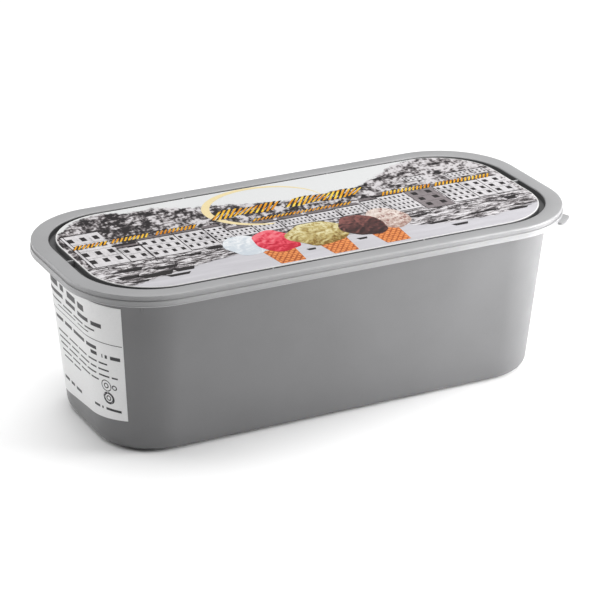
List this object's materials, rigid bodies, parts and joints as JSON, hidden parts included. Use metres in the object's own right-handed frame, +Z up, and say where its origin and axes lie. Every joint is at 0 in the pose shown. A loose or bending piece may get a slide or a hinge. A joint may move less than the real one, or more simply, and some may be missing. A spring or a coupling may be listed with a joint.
{
  "type": "ice cream tub",
  "caption": "Shut rectangular plastic ice cream tub with rounded corners, a clip-on lid with a printed card, and a paper label on one end.",
  "frame": {"origin": "middle of the base, on the surface that the tub stands on", "axes": "+X along the tub, away from the end with the paper label; +Y across it, away from the side by the pull tab; +Z up"},
  "size_m": [0.366, 0.165, 0.121],
  "materials": {
    "tub_plastic": "satin moulded polypropylene, mid grey",
    "lid_plastic": "satin moulded polypropylene, light grey",
    "printed_card": "satin print in black, grey and a few food colours",
    "label_paper": "matt white paper with plain grey bars"
  },
  "bodies": {
    "root": {"tub": "tub_plastic", "lid": "lid_plastic", "lid_card": "printed_card", "end_label": "label_paper"}
  },
  "joints": []
}
